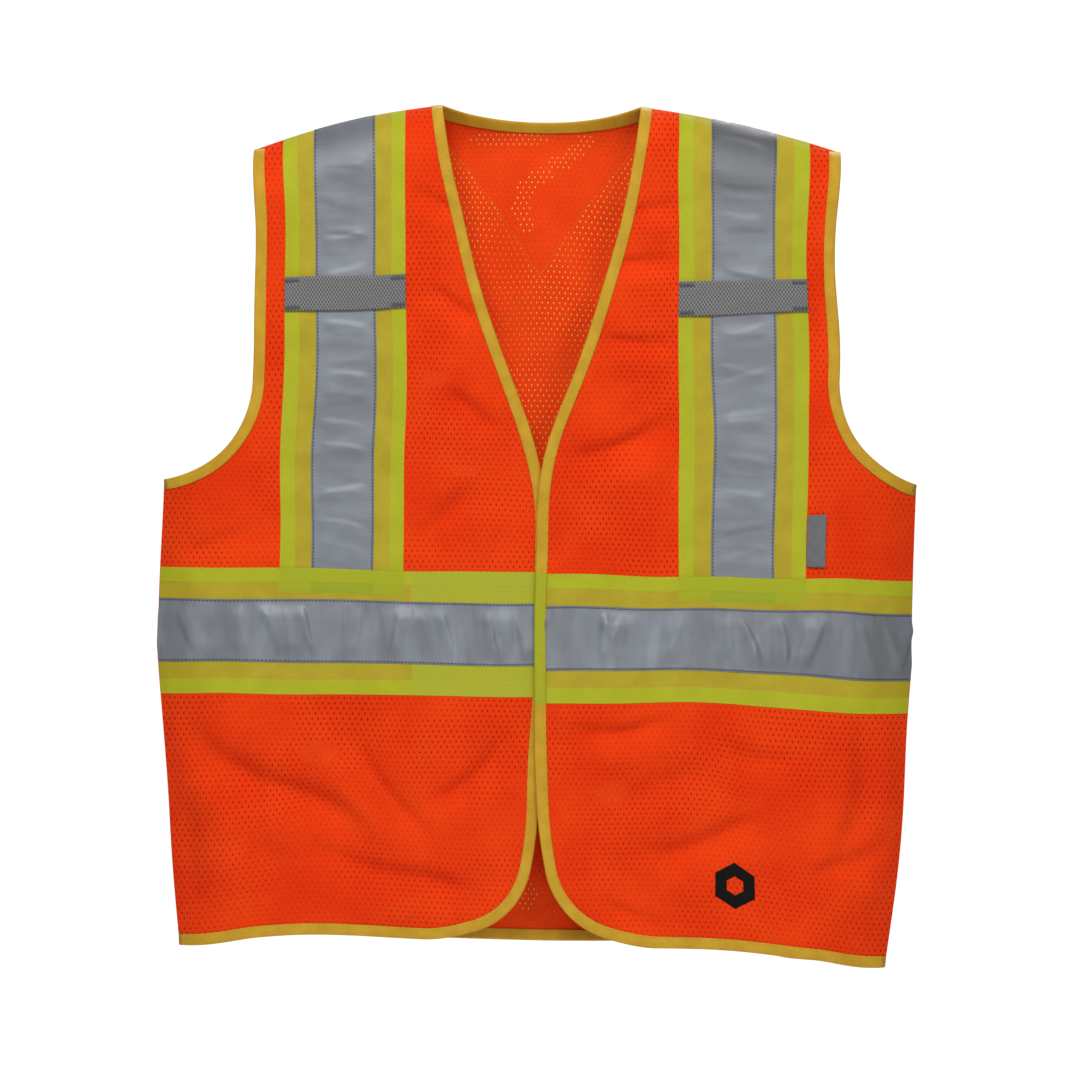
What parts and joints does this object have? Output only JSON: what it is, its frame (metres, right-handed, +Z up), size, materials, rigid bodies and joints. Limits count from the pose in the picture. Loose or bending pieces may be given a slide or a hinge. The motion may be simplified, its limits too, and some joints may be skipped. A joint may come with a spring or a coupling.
{
  "type": "high visibility vest",
  "caption": "Sleeveless safety vest in open mesh with bound edges, contrast and reflective tapes, webbing tabs on the chest and a lapped front that opens.",
  "frame": {"origin": "midway between the two points where the neckline meets the shoulder seams", "axes": "+Z up along the hanging vest, -Y out of the wearer's front, +X to the wearer's left"},
  "size_m": [0.6176, 0.062, 0.6816],
  "materials": {
    "mesh": "matt knitted polyester mesh, fluorescent orange-red, with rows of small oval holes",
    "contrast_tape": "plain-woven fluorescent yellow-green tape, doubled at its edges",
    "reflective_tape": "silver-grey retroreflective cloth, satin, with dark edge stitching",
    "binding": "folded golden yellow binding tape with one row of stitching",
    "webbing": "grey polyester webbing, coarse weave",
    "tack_thread": "dark grey thread, closely stitched",
    "overlock_thread": "orange overlock thread over the turned seam",
    "hook_and_loop": "orange hook-and-loop tape",
    "label": "blank grey woven label"
  },
  "bodies": {
    "vest": {"armhole_binding_left": "binding", "armhole_binding_right": "binding", "back_cross_contrast_left": "contrast_tape", "back_cross_contrast_right": "contrast_tape", "back_cross_reflective_left": "reflective_tape", "back_cross_reflective_right": "reflective_tape", "back_panel": "mesh", "brace_contrast_left": "contrast_tape", "brace_contrast_right": "contrast_tape", "brace_reflective_left": "reflective_tape", "brace_reflective_right": "reflective_tape", "front_panel_left": "mesh", "front_panel_right": "mesh", "hem_binding_back": "binding", "hem_binding_left": "binding", "hem_binding_right": "binding", "mic_tab_left": "webbing", "mic_tab_right": "webbing", "neck_binding": "binding", "shoulder_seam_left": "overlock_thread", "shoulder_seam_right": "overlock_thread", "side_seam_left": "overlock_thread", "side_seam_right": "overlock_thread", "tab_tacks_left": "tack_thread", "tab_tacks_right": "tack_thread", "waist_contrast_back": "contrast_tape", "waist_contrast_left": "contrast_tape", "waist_contrast_right": "contrast_tape", "waist_reflective_back": "reflective_tape", "waist_reflective_left": "reflective_tape", "waist_reflective_right": "reflective_tape"},
    "flap_left": {"front_flap_left": "mesh", "flap_contrast_left": "contrast_tape", "flap_reflective_left": "reflective_tape", "front_edge_binding_left": "binding", "hook_strip": "hook_and_loop"},
    "flap_right": {"front_flap_right": "mesh", "flap_contrast_right": "contrast_tape", "flap_reflective_right": "reflective_tape", "front_edge_binding_right": "binding", "loop_strip": "hook_and_loop"},
    "label": {"edge_label": "label"}
  },
  "joints": [
    {"name": "left_front_open", "type": "hinge", "parent": "vest", "child": "flap_left", "pos_m": [0.074, -0.0302, -0.36], "axis": [0, 0, 1], "range_deg": [0, 160]},
    {"name": "right_front_open", "type": "hinge", "parent": "vest", "child": "flap_right", "pos_m": [-0.074, -0.0302, -0.36], "axis": [0, 0, -1], "range_deg": [0, 145]},
    {"name": "label_flip", "type": "hinge", "parent": "vest", "child": "label", "pos_m": [0.2121, -0.0292, -0.34915], "axis": [0, 0, -1], "range_deg": [0, 150]}
  ],
  "couplings": [
    {"joint": "right_front_open", "follows": "left_front_open", "ratio": 0.9}
  ]
}
